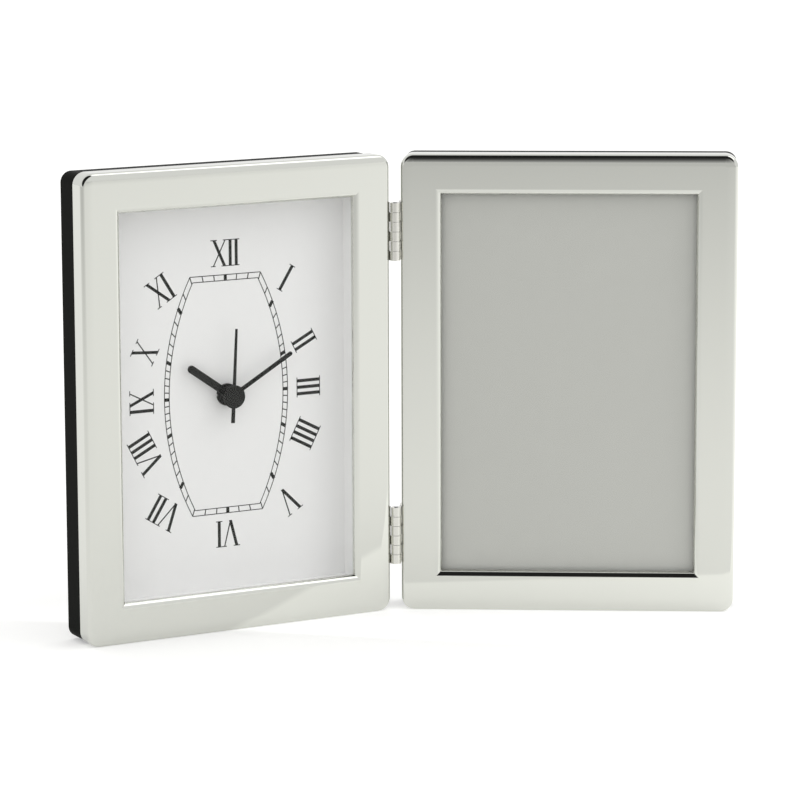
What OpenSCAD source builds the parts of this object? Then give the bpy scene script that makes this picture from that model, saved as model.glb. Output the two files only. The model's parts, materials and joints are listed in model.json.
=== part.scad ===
// Folding desk clock and picture frame
// Two silver faced panels joined by a pair of small hinges. The left panel holds a clock
// with a battery movement, the right panel holds a picture behind glass.
// Millimetres. X runs along the clock panel, Y from its face to its back, Z up.

/* [Picture] */
// Width of the picture that fits the right panel
picture_w = 101.6; // [90:0.1:127]
// Height of the picture that fits the right panel
picture_h = 152.4; // [130:0.1:178]
// Thickness of the grey insert card
insert_t = 0.4; // [0.2:0.1:0.8]
// How far the picture reaches under each side of the window
side_lap = 1.6; // [1:0.1:2.2]
// How far the picture reaches under the top and bottom of the window
end_lap = 2; // [1:0.1:2.2]

/* [Silver face] */
// Width of the silver border round the window
border = 15.8; // [14.5:0.1:24]
// Thickness of the stamped sheet
shell_t = 0.6; // [0.5:0.05:0.8]
// Depth of the stamped side wall
shell_depth = 8; // [7:0.1:12]
// Radius of the panel corners
corner_r = 5; // [4:0.1:8]
// Radius of the shoulder between face and side wall
shoulder_r = 1.9; // [1.4:0.1:2.6]
// Radius of the edge that rolls down to the window
bevel_r = 2.5; // [1.8:0.1:2.8]
// Thickness of the sheet left at the window edge
window_edge_t = 0.4; // [0.3:0.1:0.8]

/* [Black back] */
// Depth of a whole panel without the clock movement
panel_depth = 19; // [18.5:0.1:28]
// Gap between the silver side wall and the black body
body_gap = 0.15; // [0.1:0.05:0.4]
// Thickness of the back wall behind the clock
back_wall = 2.5; // [1.5:0.1:4]
// Width of the ledge that the dial rests on
dial_ledge = 4; // [2:0.5:8]

/* [Window] */
// Thickness of the glass panes
glass_t = 2; // [1.5:0.1:3]
// How far the glass reaches under the window edge
glass_lap = 2.6; // [2.2:0.1:3]
// Gap round the glass in its pocket
glass_gap = 0.2; // [0.1:0.05:0.3]
// Setback of the spacer wall from the window edge
spacer_setback = 1.8; // [1:0.1:2]

/* [Dial and hands] */
// Distance from the glass to the dial
dial_depth = 8.5; // [8.2:0.1:11]
// Thickness of the dial plate
dial_t = 1; // [0.5:0.1:2]
// Hour shown
hour_now = 10; // [0:1:11]
// Minute shown
minute_now = 10; // [0:1:59]
// Second shown
second_now = 0.5; // [0:0.5:59.5]
// Length of the hour hand from its hub to its tip
hour_len = 21.7; // [16:0.1:26]
// Width of the hour hand
hour_w = 3; // [2:0.1:4]
// Length of the minute hand
minute_len = 29.8; // [24:0.1:40]
// Width of the minute hand
minute_w = 1.6; // [1:0.1:3]
// Length of the second hand
second_len = 26.2; // [20:0.1:38]
// Width of the second hand at its tip
second_w = 0.9; // [0.6:0.1:1.4]
// Length of the tail of the second hand
tail_len = 10.2; // [7:0.1:14]
// Width of the tail of the second hand
tail_w = 1.5; // [1:0.1:2]
// Thickness of a hand
hand_t = 0.4; // [0.3:0.05:0.6]
// Diameter of the cap on the second hand
cap_d = 9; // [7:0.1:10]
// Height of the hour hand above the dial
hour_up = 3.4; // [2.6:0.1:3.8]
// Step in height from one hand to the next
hand_step = 1.4; // [1:0.1:1.6]

/* [Clock movement] */
// Room left in the battery bay for the two contact springs
spring_room = 3.1; // [2.8:0.1:6]
// Gap between the coil and the cover behind it
coil_gap = 0.4; // [0.3:0.1:2.9]
// Wall of the movement housing
housing_t = 1.2; // [1:0.1:1.4]
// Play between the housing and the opening in the black back
housing_play = 1; // [0.5:0.1:2]
// Thickness of a wheel in the train
wheel_t = 0.9; // [0.7:0.05:1]
// Step in depth from one wheel to the next
layer_step = 1.3; // [1.25:0.05:1.4]
// Thickness of the plate behind the train
plate_t = 1; // [0.8:0.1:1.2]
// Distance from the hands' axis to the motion wheel
motion_reach = 9; // [8.8:0.05:9.2]
// Distance from the hands' axis to the third wheel
third_reach = 10.1; // [10:0.05:10.3]
// Distance from the hands' axis to the step wheel
step_reach = 10.8; // [10.7:0.05:11]
// Distance from the step wheel to the rotor
rotor_reach = 9.1; // [9:0.05:9.4]
// Running play round every arbor and pipe
arbor_play = 0.05; // [0.02:0.01:0.08]
// Radius of the second hand's arbor
arbor_r = 0.5; // [0.4:0.05:0.6]
// Wall of the minute hand's pipe
minute_pipe_t = 0.7; // [0.6:0.05:0.75]
// Wall of the hour hand's pipe
hour_pipe_t = 0.8; // [0.6:0.05:0.9]
// Wall of the threaded bushing
bushing_t = 1.2; // [1:0.1:1.4]
// Diameter of the round nut on the dial
nut_d = 8.6; // [8.4:0.1:11]
// Thickness of the round nut
nut_t = 1.2; // [0.8:0.1:1.6]
// Diameter of the battery
battery_d = 14.2; // [13.8:0.1:14.4]
// Length of the battery without its nub
battery_len = 49.2; // [48:0.1:49.6]
// Diameter of the setting knob
knob_d = 11; // [8:0.5:12]
// Thickness of the setting knob
knob_t = 3.2; // [2:0.1:4]

/* [Hinges] */
// Included angle between the two faces
open_angle = 148.3; // [100:0.1:175]
// Diameter of the hinge barrel
barrel_d = 3.8; // [3.2:0.1:4]
// Diameter of the hinge pin
pin_d = 1.6; // [1.2:0.1:2]
// Height of one hinge
hinge_h = 22.6; // [15:0.1:40]
// Number of knuckles in one hinge
knuckles = 6; // [4:1:8]
// Gap between neighbouring knuckles
knuckle_gap = 0.15; // [0.1:0.05:0.3]
// Distance from the hinge axis to the edge of each panel
edge_gap = 2.05; // [2.05:0.05:2.6]
// Thickness of a hinge leaf
leaf_t = 0.8; // [0.6:0.05:0.85]
// Distance from the hinge axis forward of the faces
axis_proud = 0.3; // [0.2:0.05:0.6]
// Distance from each end of the panel to the middle of its hinge
hinge_inset = 30; // [25:0.5:60]
// Length of a hinge screw
leaf_screw_len = 6; // [4:0.5:8]
// Diameter of a hinge screw
leaf_screw_d = 1.6; // [1.2:0.1:2]

/* [Picture back] */
// Thickness of the loose backboard
board_t = 3; // [2:0.1:4]
// Width of the rebate that the backboard lies in
board_lap = 3; // [2:0.1:4]
// Gap round the backboard
board_gap = 0.4; // [0.2:0.1:0.8]
// Length of a turn button from its pivot to its tip
button_len = 13; // [9:0.5:16]
// Width of a turn button
button_w = 7; // [5:0.5:7]
// Thickness of a turn button
button_t = 1; // [0.8:0.1:1.6]
// Play between a turn button and what it turns on
button_play = 0.1; // [0.05:0.01:0.2]
// Diameter of a turn button screw
button_screw_d = 3; // [2:0.1:3.4]
// Distance of a turn button's pivot from the rebate
button_reach = 4; // [3.6:0.1:4.6]

/* [Hidden] */
$fn = 48;

// The movement housing is as wide as its battery, its springs and its walls
nub_len = 1.3;
housing_w = battery_len + nub_len + spring_room + 2 * housing_t;
bay_half = housing_w / 2 - housing_t;

// It is as deep as its wheels, its plate and its motor, which lie behind each other.
// Layer 0 of the wheels is nearest to the dial.
first_layer = housing_t + 0.2;
function layer(i) = first_layer + i * layer_step;
plate_w = layer(6);
plate_back = plate_w + plate_t;
stator_t = 1.5;
core_t = 1;
bobbin_r = 2.7;
coil_middle = plate_back + stator_t + core_t / 2;
housing_depth = coil_middle + bobbin_r + coil_gap + housing_t;

// Outline of both panels
window_w = picture_w - 2 * side_lap;
window_h = picture_h - 2 * end_lap;
panel_w = window_w + 2 * border;
panel_h = window_h + 2 * border;
glass_w = window_w + 2 * glass_lap;
glass_h = window_h + 2 * glass_lap;
pocket_w = glass_w + 2 * glass_gap;
pocket_h = glass_h + 2 * glass_gap;
body_inset = shell_t + body_gap;
body_w = panel_w - 2 * body_inset;
body_h = panel_h - 2 * body_inset;
body_r = corner_r - body_inset;

// The rolled edge turns this far before it ends at the window
bevel_turn = 80;
bevel_w = bevel_r * sin(bevel_turn);
bevel_drop = bevel_r * (1 - cos(bevel_turn));

// Depths behind the silver face
glass_y = bevel_drop + window_edge_t;
glass_back = glass_y + glass_t;
dial_y = glass_back + dial_depth;
housing_y = dial_y + dial_t;
back_inner = panel_depth - back_wall;
board_y = panel_depth - board_t;

// The hinge axis is the origin of this frame until every piece is shifted, so that the
// finished model stands over the middle of the rectangle that it fills on the table
fold = 180 - open_angle;
axis_y = -axis_proud;
corner_x = edge_gap + panel_w - body_inset;
corner_y = panel_depth - axis_y;
reach_right = corner_x * cos(fold) + corner_y * sin(fold);
reach_left = edge_gap + panel_w;
shoulder_x = edge_gap + panel_w - shoulder_r;
shoulder_y = shoulder_r - axis_y;
reach_front = axis_y - shoulder_x * sin(fold) + shoulder_y * cos(fold) - shoulder_r;
knob_out = 0.5;
reach_back = housing_y + housing_depth + knob_out;
shift_x = (reach_left - reach_right) / 2;
shift_y = -(reach_front + reach_back) / 2;

// Colours
silver = [0.82, 0.82, 0.8];
black = [0.11, 0.11, 0.1];
clear = [0.75, 0.85, 0.82, 0.35];
white = [0.93, 0.93, 0.93];
grey = [0.73, 0.73, 0.71];
steel = [0.6, 0.61, 0.62];
gold = [0.75, 0.62, 0.32];
copper = [0.72, 0.4, 0.22];
cream = [0.9, 0.88, 0.8];

// Places

module standing() translate([shift_x, shift_y, 0]) children();

// Middle of the clock panel's face, in the panel's own plane
module on_clock() standing() translate([-edge_gap - panel_w / 2, 0, panel_h / 2]) children();

// Middle of the picture panel's face, turned by the fold
module on_photo() standing() translate([0, axis_y, 0]) rotate([0, 0, -fold])
    translate([edge_gap + panel_w / 2, -axis_y, panel_h / 2]) children();

// Stands a drawing up, so that its Z runs out of the face
module upright() rotate([90, 0, 0]) children();

// A flat slice between two depths behind the face
module slice(from, to) translate([0, to, 0]) upright() linear_extrude(to - from) children();

// A slice of the movement, at a place seen from the front and a depth in the housing
module in_movement(place, from, to) on_clock()
    translate([place[0], housing_y, place[1]]) slice(from, to) children();

// Shared shapes

module rounded(w, h, r) {
    square([w - 2 * r, h], center = true);
    square([w, h - 2 * r], center = true);
    for (x = [-1, 1], y = [-1, 1])
        translate([x * (w / 2 - r), y * (h / 2 - r)]) circle(r);
}

module ring(outer_r, inner_r) difference() {
    circle(outer_r);
    circle(inner_r);
}

// Silver shell of one panel

module rim_profile(r, roll, depth) {
    translate([0, -depth]) square([r - roll, depth]);
    translate([0, -depth]) square([r, depth - roll]);
    translate([r - roll, -roll]) circle(roll);
}

// Block with round corners and a rolled front edge, front face at Z 0
module soft_block(w, h, r, roll, depth) {
    translate([r - w / 2, r - h / 2, -depth]) cube([w - 2 * r, h - 2 * r, depth]);
    for (side = [0 : 3]) {
        along = side % 2 == 0 ? h : w;
        across = side % 2 == 0 ? w : h;
        rotate([0, 0, side * 90]) {
            translate([across / 2 - r, 0, 0]) rotate([90, 0, 0])
                linear_extrude(along - 2 * r, center = true) rim_profile(r, roll, depth);
            translate([across / 2 - r, along / 2 - r, 0])
                rotate_extrude(angle = 90) rim_profile(r, roll, depth);
        }
    }
}

// Section through the window, cut away down to the rolled edges
module window_section(half) {
    difference() {
        translate([-half - bevel_w, -bevel_drop]) square([2 * (half + bevel_w), bevel_drop + 1]);
        for (side = [-1, 1]) translate([side * (half + bevel_w), -bevel_r]) circle(bevel_r);
    }
    translate([-half, -shell_depth]) square([2 * half, shell_depth]);
}

// Section of the sheet that is kept under the rolled edges, down to the glass
lip_slack = 0.1;
lip_run = 1.2;
module lip_section(half) for (side = [0, 1]) mirror([side, 0]) polygon([
    [0, 0],
    [half + bevel_w + lip_slack, 0],
    [half + bevel_w + lip_slack, -shell_t],
    [half + lip_run, -glass_y],
    [0, -glass_y]
]);

// Two sections, one along the height and one along the width, meet in clean mitres
module along_height() rotate([90, 0, 0]) linear_extrude(panel_h, center = true) children();

module along_width() rotate([90, 0, 90]) linear_extrude(panel_w, center = true) children();

module window_well() intersection() {
    along_height() window_section(window_w / 2);
    along_width() window_section(window_h / 2);
}

module window_lip() intersection() {
    along_height() lip_section(window_w / 2);
    along_width() lip_section(window_h / 2);
}

module face_shell() upright() difference() {
    soft_block(panel_w, panel_h, corner_r, shoulder_r, shell_depth);
    difference() {
        translate([0, 0, -shell_t]) soft_block(panel_w - 2 * shell_t, panel_h - 2 * shell_t,
            corner_r - shell_t, shoulder_r - shell_t, shell_depth);
        window_lip();
    }
    window_well();
}

// Screw places on the hinged edge, as height and depth behind the face
screw_y = (shoulder_r + shell_depth) / 2;
screw_pitch = hinge_h / 2;
hinge_z = [hinge_inset, panel_h - hinge_inset];
screw_heights = [for (z = hinge_z, up = [-1, 1]) z + up * screw_pitch / 2];

// Children placed at each screw on the hinged edge, their Z running into the panel.
// side is 1 on the clock panel and -1 on the picture panel.
module at_leaf_screws(side) for (z = screw_heights)
    translate([side * panel_w / 2, screw_y, z - panel_h / 2]) rotate([0, -side * 90, 0])
        children();

screw_fit = 0.02;
module leaf_screw_holes(side) at_leaf_screws(side) translate([0, 0, -1])
    cylinder(r = leaf_screw_d / 2 + screw_fit, h = leaf_screw_len + 1 - leaf_t + screw_fit);

module clock_shell() color(silver) on_clock() difference() {
    face_shell();
    leaf_screw_holes(1);
}

module photo_shell() color(silver) on_photo() difference() {
    face_shell();
    leaf_screw_holes(-1);
}

// Black bodies behind the shells

body_front = shell_t + body_gap;
body_roll = max(0.2, shoulder_r - body_inset);

module body_block() upright() translate([0, 0, -body_front])
    soft_block(body_w, body_h, body_r, body_roll, panel_depth - body_front);

module clock_body() color(black) on_clock() difference() {
    body_block();
    slice(0, housing_y) square([pocket_w, pocket_h], center = true);
    slice(0, back_inner)
        square([glass_w - 2 * dial_ledge, glass_h - 2 * dial_ledge], center = true);
    slice(0, panel_depth + 1)
        rounded(housing_w + 2 * housing_play, housing_w + 2 * housing_play, 3);
    leaf_screw_holes(1);
}

rebate_w = pocket_w + 2 * board_lap;
rebate_h = pocket_h + 2 * board_lap;

// Turn buttons: place on the back and the way that their long arm points
button_x = rebate_w / 2 + button_reach;
button_z = rebate_h / 2 + button_reach;

module at_button(place, turn) on_photo() translate([place[0], panel_depth, place[1]])
    rotate([-90, 0, 0]) rotate([0, 0, turn]) children();

button_places = [[0, button_z], [0, -button_z], [-button_x, 0], [button_x, 0]];
screw_depth = 6;

module photo_body() color(black) difference() {
    on_photo() difference() {
        body_block();
        slice(0, panel_depth + 1) square([pocket_w, pocket_h], center = true);
        slice(board_y, panel_depth + 1) square([rebate_w, rebate_h], center = true);
        leaf_screw_holes(-1);
    }
    for (place = button_places) at_button(place, 0)
        translate([0, 0, -screw_depth - screw_fit])
            cylinder(r = button_screw_d / 2 + screw_fit, h = screw_depth + 1);
}

// Glass, spacer, dial and picture

module pane() slice(glass_y, glass_back) square([glass_w, glass_h], center = true);

module clock_glass() color(clear) on_clock() pane();

module photo_glass() color(clear) on_photo() pane();

spacer_w = window_w + 2 * spacer_setback;
spacer_h = window_h + 2 * spacer_setback;

module dial_spacer() color(white) on_clock() slice(glass_back, dial_y) difference() {
    square([glass_w, glass_h], center = true);
    square([spacer_w, spacer_h], center = true);
}

second_bore = arbor_r + arbor_play;
minute_pipe_r = second_bore + minute_pipe_t;
hour_bore = minute_pipe_r + arbor_play;
hour_pipe_r = hour_bore + hour_pipe_t;
bushing_bore = hour_pipe_r + arbor_play;
bushing_r = bushing_bore + bushing_t;

module dial_plate() color(white) on_clock() slice(dial_y, housing_y) difference() {
    square([glass_w, glass_h], center = true);
    circle(bushing_r + body_gap);
}

module photo_insert() color(grey) on_photo() slice(glass_back, glass_back + insert_t)
    square([picture_w, picture_h], center = true);

pad_y = glass_back + insert_t;
module filler_pad() color(cream) on_photo() slice(pad_y, board_y)
    square([picture_w, picture_h], center = true);

module backboard() color(black) on_photo() slice(board_y, panel_depth)
    square([rebate_w - 2 * board_gap, rebate_h - 2 * board_gap], center = true);

// Turn buttons and their screws

module button() color(steel) difference() {
    translate([0, 0, button_play]) linear_extrude(button_t) {
        circle(button_w / 2);
        translate([-button_w / 2, 0]) square([button_w, button_len - button_w / 2]);
        translate([0, button_len - button_w / 2]) circle(button_w / 2);
    }
    cylinder(r = button_screw_d / 2 + button_play, h = button_t + 1);
}

module turn_button_top() at_button(button_places[0], 0) button();

module turn_button_bottom() at_button(button_places[1], 180) button();

module turn_button_left() at_button(button_places[2], -90) button();

module turn_button_right() at_button(button_places[3], 90) button();

head_d = 5.6;
head_h = 1.1;
module button_screws() color(steel) for (place = button_places) at_button(place, 0) {
    translate([0, 0, -screw_depth])
        cylinder(r = button_screw_d / 2, h = screw_depth + button_t + 2 * button_play);
    translate([0, 0, button_t + 2 * button_play]) difference() {
        cylinder(r1 = head_d / 2, r2 = head_d / 2 - 0.8, h = head_h);
        translate([-head_d / 2, -0.4, head_h / 2]) cube([head_d, 0.8, head_h]);
    }
}

// Hinges

knuckle_h = hinge_h / knuckles;
pin_play = arbor_play;
leaf_back = shell_depth - 0.2;
leaf_clear = barrel_d / 2 + 0.3;

// Leaf in the hinge's own frame: barrel along Z, plate behind it on the wall at X side
module leaf(side, first) difference() {
    union() {
        for (i = [first : 2 : knuckles - 1])
            translate([0, 0, -hinge_h / 2 + i * knuckle_h + knuckle_gap / 2]) {
                cylinder(r = barrel_d / 2, h = knuckle_h - knuckle_gap);
                translate([side > 0 ? edge_gap - leaf_t : -edge_gap, 0, 0])
                    cube([leaf_t, leaf_clear + 0.5, knuckle_h - knuckle_gap]);
            }
        translate([side > 0 ? edge_gap - leaf_t : -edge_gap, leaf_clear, -hinge_h / 2])
            cube([leaf_t, leaf_back - axis_y - leaf_clear, hinge_h]);
    }
    translate([0, 0, -hinge_h]) cylinder(r = pin_d / 2 + pin_play, h = 2 * hinge_h);
    for (up = [-1, 1]) translate([side * edge_gap, screw_y - axis_y, up * screw_pitch / 2])
        rotate([0, -side * 90, 0]) leaf_screw_shape(screw_fit);
}

// Countersunk screw, its flush head at Z leaf_t and its point running down
module leaf_screw_shape(slack) {
    r = leaf_screw_d / 2 + slack;
    translate([0, 0, leaf_t - leaf_screw_len]) cylinder(r = r, h = leaf_screw_len);
    translate([0, 0, 0.15]) cylinder(r1 = r, r2 = r + leaf_t - 0.15, h = leaf_t - 0.15);
}

module hinge_axis(z) standing() translate([0, axis_y, z]) children();

module clock_leaf(z) color(silver) hinge_axis(z) leaf(-1, 0);

module photo_leaf(z) color(silver) hinge_axis(z) rotate([0, 0, -fold]) leaf(1, 1);

module upper_clock_leaf() clock_leaf(hinge_z[1]);

module lower_clock_leaf() clock_leaf(hinge_z[0]);

module upper_photo_leaf() photo_leaf(hinge_z[1]);

module lower_photo_leaf() photo_leaf(hinge_z[0]);

module hinge_pin(z) color(steel) hinge_axis(z) translate([0, 0, -hinge_h / 2 - knuckle_gap])
    cylinder(r = pin_d / 2, h = hinge_h + 2 * knuckle_gap);

module upper_hinge_pin() hinge_pin(hinge_z[1]);

module lower_hinge_pin() hinge_pin(hinge_z[0]);

module leaf_screws(side) at_leaf_screws(side) mirror([0, 0, 1]) leaf_screw_shape(0);

module clock_leaf_screws() color(steel) on_clock() leaf_screws(1);

module photo_leaf_screws() color(steel) on_photo() leaf_screws(-1);

// Toothed wheels

pressure = 20;
tooth_share = 0.8;
addendum = 0.8;
dedendum = 1.1;

function involute(a) = tan(a) * 180 / PI - a;

// Radius and half angle of a tooth flank at a few heights
function flank(n, m, steps) = let (
    pitch_r = m * n / 2,
    base_r = pitch_r * cos(pressure),
    root_r = pitch_r - dedendum * m,
    tip_r = pitch_r + addendum * m,
    low_r = max(root_r, base_r),
    half = 90 / n * tooth_share + involute(pressure)
) concat(
    root_r < base_r ? [[root_r, half]] : [],
    [for (i = [0 : steps - 1]) let (r = low_r + (tip_r - low_r) * i / (steps - 1))
        [r, half - involute(acos(min(1, base_r / r)))]]
);

function polar(r, a) = [r * cos(a), r * sin(a)];

// Wheel of n teeth, one of them centred on the angle phase
module gear(n, m, phase, steps = 2) {
    side = flank(n, m, steps);
    last = len(side) - 1;
    polygon([for (i = [0 : n - 1]) let (a = phase + 360 * i / n)
        each concat(
            [for (p = side) polar(p[0], a - p[1])],
            [for (k = [last : -1 : 0]) polar(side[k][0], a + side[k][1])]
        )]);
}

// Phase that a wheel of n teeth needs to mesh with another one, which has other_n teeth and
// stands at other_phase, where toward is the direction from the other wheel to this one
function mesh_phase(other_n, other_phase, toward, n) =
    toward + 180 - (other_phase - toward) * other_n / n + 180 / n;

// Train layout, seen from the front of the clock
floor_bore = housing_t / 3;

motion_turn = 150;
third_turn = 10;
step_turn = 80;
rotor_turn = 20;
knob_turn = 120;

centre = [0, 0];
motion_at = polar(motion_reach, motion_turn);
third_at = polar(third_reach, third_turn);
step_at = polar(step_reach, step_turn);
rotor_at = step_at + polar(rotor_reach, rotor_turn);
knob_at = motion_at + polar(motion_reach, knob_turn);

// Tooth counts. Rotor to second 30 to 1, second to minute 60 to 1, minute to hour 12 to 1.
rotor_n = 10;
step_wheel_n = 60;
step_pinion_n = 12;
second_wheel_n = 60;
second_pinion_n = 8;
third_wheel_n = 60;
third_pinion_n = 8;
centre_n = 64;
minute_n = 15;
motion_wheel_n = 45;
motion_pinion_n = 12;
hour_n = 48;
knob_n = 15;

rotor_m = 2 * rotor_reach / (rotor_n + step_wheel_n);
step_m = 2 * step_reach / (step_pinion_n + second_wheel_n);
third_m = 2 * third_reach / (second_pinion_n + third_wheel_n);
centre_m = 2 * third_reach / (third_pinion_n + centre_n);
motion_m = 2 * motion_reach / (minute_n + motion_wheel_n);
hour_m = 2 * motion_reach / (motion_pinion_n + hour_n);

// Hand angles, clockwise from twelve
minute_turn = 6 * minute_now;
hour_turn = 30 * hour_now + minute_now / 2;
second_turn = 6 * second_now;

// Heights of the hands above the dial, as depths in the housing
hour_level = -dial_t - hour_up;
minute_level = hour_level - hand_step;
second_level = minute_level - hand_step;

module hour_wheel() color(cream) {
    in_movement(centre, layer(0), layer(0) + wheel_t) difference() {
        gear(hour_n, hour_m, motion_turn);
        circle(hour_bore);
    }
    in_movement(centre, hour_level - hand_t, layer(0)) ring(hour_pipe_r, hour_bore);
}

module minute_pinion() color(cream) {
    in_movement(centre, layer(1), layer(1) + wheel_t) difference() {
        gear(minute_n, motion_m, motion_turn, 3);
        circle(second_bore);
    }
    in_movement(centre, minute_level - hand_t, layer(1)) ring(minute_pipe_r, second_bore);
    in_movement(centre, layer(1) + wheel_t, layer(2) + wheel_t + 0.1)
        ring(minute_pipe_r, second_bore);
}

motion_phase = mesh_phase(minute_n, motion_turn, motion_turn, motion_wheel_n);
post_r = 0.8;

module motion_wheel() color(cream) {
    in_movement(motion_at, layer(1), layer(1) + wheel_t) difference() {
        gear(motion_wheel_n, motion_m, motion_phase);
        circle(post_r + arbor_play);
    }
    in_movement(motion_at, layer(0), layer(1)) difference() {
        gear(motion_pinion_n, hour_m,
            mesh_phase(hour_n, motion_turn, motion_turn, motion_pinion_n), 3);
        circle(post_r + arbor_play);
    }
}

module centre_wheel() color(cream) in_movement(centre, layer(2), layer(2) + wheel_t)
    difference() {
        gear(centre_n, centre_m, third_turn);
        circle(minute_pipe_r + arbor_play);
    }

module third_wheel() color(cream) {
    in_movement(third_at, layer(3), layer(3) + wheel_t) gear(third_wheel_n, third_m,
        mesh_phase(second_pinion_n, third_turn, third_turn, third_wheel_n));
    in_movement(third_at, layer(2), layer(3)) gear(third_pinion_n, centre_m,
        mesh_phase(centre_n, third_turn, third_turn, third_pinion_n), 3);
    in_movement(third_at, floor_bore, layer(2)) circle(arbor_r);
    in_movement(third_at, layer(3) + wheel_t, plate_back) circle(arbor_r);
}

module second_wheel() color(cream) {
    in_movement(centre, layer(4), layer(4) + wheel_t) gear(second_wheel_n, step_m, step_turn);
    in_movement(centre, layer(3), layer(4)) gear(second_pinion_n, third_m, third_turn, 3);
    in_movement(centre, second_level - hand_t, layer(3)) circle(arbor_r);
    in_movement(centre, layer(4) + wheel_t, plate_back) circle(arbor_r);
}

module step_wheel() color(cream) {
    in_movement(step_at, layer(5), layer(5) + wheel_t)
        gear(step_wheel_n, rotor_m, rotor_turn);
    in_movement(step_at, layer(4), layer(5)) gear(step_pinion_n, step_m,
        mesh_phase(second_wheel_n, step_turn, step_turn, step_pinion_n), 3);
    in_movement(step_at, floor_bore, layer(4)) circle(arbor_r);
    in_movement(step_at, layer(5) + wheel_t, plate_back) circle(arbor_r);
}

magnet_r = 2.1;
magnet_t = 1.6;
magnet_w = plate_back + 0.2;

module rotor() color(steel) {
    in_movement(rotor_at, layer(5), layer(5) + wheel_t) gear(rotor_n, rotor_m,
        mesh_phase(step_wheel_n, rotor_turn, rotor_turn, rotor_n), 3);
    in_movement(rotor_at, floor_bore, layer(5)) circle(arbor_r);
    in_movement(rotor_at, layer(5) + wheel_t, magnet_w) circle(arbor_r);
    in_movement(rotor_at, magnet_w, magnet_w + magnet_t) circle(magnet_r);
}

// Setting knob, sunk in a round well in the cover
well_r = knob_d / 2 + 1;
knob_back = housing_depth + knob_out;
knob_front = knob_back - knob_t;
well_floor = knob_front - 0.2;
knob_shaft_r = 1;
grips = 20;

module setting_knob() color(black) {
    in_movement(knob_at, layer(1), layer(1) + wheel_t) gear(knob_n, motion_m,
        mesh_phase(motion_wheel_n, motion_phase, knob_turn, knob_n), 3);
    in_movement(knob_at, floor_bore, layer(1)) circle(knob_shaft_r);
    in_movement(knob_at, layer(1) + wheel_t, knob_front) circle(knob_shaft_r);
    in_movement(knob_at, knob_front, knob_back) difference() {
        circle(knob_d / 2);
        for (i = [1 : grips]) rotate(i * 360 / grips) translate([knob_d / 2, 0])
            circle(0.45, $fn = 4);
    }
}

// Hands

module hour_hand() color(black) in_movement(centre, hour_level - hand_t, hour_level)
    rotate(-hour_turn) difference() {
        union() {
            circle(hour_pipe_r + 1);
            translate([-hour_w / 2, 0]) square([hour_w, hour_len - hour_w / 2]);
            translate([0, hour_len - hour_w / 2]) circle(hour_w / 2);
        }
        circle(hour_pipe_r);
    }

module minute_hand() color(black) in_movement(centre, minute_level - hand_t, minute_level)
    rotate(-minute_turn) difference() {
        union() {
            circle(minute_pipe_r + 1.2);
            translate([-minute_w / 2, 0]) square([minute_w, minute_len - minute_w / 2]);
            translate([0, minute_len - minute_w / 2]) circle(minute_w / 2);
        }
        circle(minute_pipe_r);
    }

module second_hand() color(black) {
    in_movement(centre, second_level - hand_t, second_level) rotate(-second_turn)
        difference() {
            union() {
                circle(arbor_r + 0.8);
                polygon([[-tail_w / 2, -tail_len], [tail_w / 2, -tail_len],
                    [second_w / 2, second_len], [-second_w / 2, second_len]]);
            }
            circle(arbor_r);
        }
    in_movement(centre, second_level - 2 * hand_t, second_level - hand_t) circle(cap_d / 2);
}

// Nut and bushing that clamp the movement to the dial

bushing_end = -dial_t - nut_t - 0.3;

module dial_nut() color(black) in_movement(centre, -dial_t - nut_t, -dial_t) difference() {
    circle(nut_d / 2);
    circle(bushing_r + screw_fit);
    for (a = [0, 180]) rotate(a) translate([nut_d / 2, 0]) square([0.8, 1], center = true);
}

module threaded_bushing() color(black) in_movement(centre, bushing_end, 0)
    ring(bushing_r, bushing_bore);

// Housing of the movement

split_w = housing_depth / 2;
bay_z = -bay_half;
bay_h = battery_d + 1;
divider_z = bay_z + bay_h;
divider_t = 1;
pillar_r = 1.2;
pillars = [[bay_half - 7.3, 12], [-8, bay_half - 9.8], [-9, -7]];

module housing_wall() difference() {
    rounded(housing_w, housing_w, 2);
    square(2 * bay_half, center = true);
}

module divider() translate([-bay_half, divider_z]) square([2 * bay_half, divider_t]);

module movement_front() color(black) difference() {
    union() {
        in_movement(centre, 0, housing_t) rounded(housing_w, housing_w, 2);
        in_movement(centre, housing_t, split_w) {
            housing_wall();
            divider();
        }
        for (place = pillars) in_movement(place, housing_t, plate_w) circle(pillar_r);
        in_movement(motion_at, housing_t, layer(1) + wheel_t + 0.1) circle(post_r);
    }
    in_movement(centre, -1, housing_t + 1) circle(bushing_bore);
    for (place = [third_at, step_at, rotor_at]) in_movement(place, floor_bore, housing_t + 1)
        circle(arbor_r + arbor_play);
    in_movement(knob_at, floor_bore, housing_t + 1) circle(knob_shaft_r + arbor_play);
}

cover_inner = housing_depth - housing_t;

module movement_cover() color(black) difference() {
    union() {
        in_movement(centre, split_w, housing_depth) {
            housing_wall();
            divider();
        }
        in_movement(centre, cover_inner, housing_depth) translate([-bay_half, divider_z])
            square([2 * bay_half, bay_half - divider_z]);
        in_movement(knob_at, well_floor - housing_t, cover_inner) circle(well_r + housing_t);
    }
    in_movement(knob_at, well_floor, housing_depth + 1) circle(well_r);
    in_movement(knob_at, well_floor - housing_t - 1, well_floor + 1)
        circle(knob_shaft_r + arbor_play);
}

plate_left = -10.8;
plate_right = bay_half - 4.8;
plate_low = -9;
plate_high = bay_half - 7.6;

module train_plate() color(steel) in_movement(centre, plate_w, plate_back) difference() {
    translate([(plate_left + plate_right) / 2, (plate_low + plate_high) / 2])
        rounded(plate_right - plate_left, plate_high - plate_low, 2);
    for (place = [centre, third_at, step_at, rotor_at]) translate(place)
        circle(arbor_r + arbor_play);
}

// Stepping motor

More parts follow.
